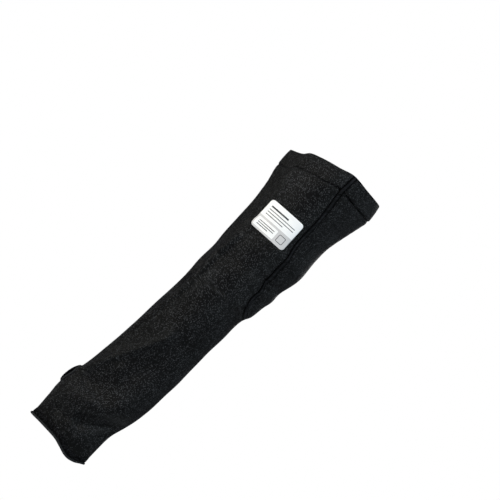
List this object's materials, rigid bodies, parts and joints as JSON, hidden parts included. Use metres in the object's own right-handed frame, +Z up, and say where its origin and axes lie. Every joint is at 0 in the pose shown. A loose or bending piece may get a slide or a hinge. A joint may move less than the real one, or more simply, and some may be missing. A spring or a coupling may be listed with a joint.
{
  "type": "cut resistant sleeve",
  "caption": "Black knitted arm sleeve in its worn form, hollow from the upper arm to the knuckles, with a turned hem, a long seam, bound hand edge, thumb hole and blank label.",
  "frame": {"origin": "on the arm's axis, in the middle of the upper opening, where the arm goes in", "axes": "+Z up the arm towards the shoulder, the side with the label faces -Y, the thumb hole faces -X"},
  "size_m": [0.1263, 0.0953, 0.4755],
  "materials": {
    "knit": "black knit with fine grey flecks",
    "seam_thread": "smooth black flat seam",
    "binding_thread": "smooth black overlocked edge",
    "label": "satin white with a light grey lower part"
  },
  "bodies": {
    "root": {"knit_tube": "knit", "upper_hem": "knit", "side_seam": "seam_thread", "hand_binding": "binding_thread", "thumb_binding": "binding_thread", "label": "label"}
  },
  "joints": []
}
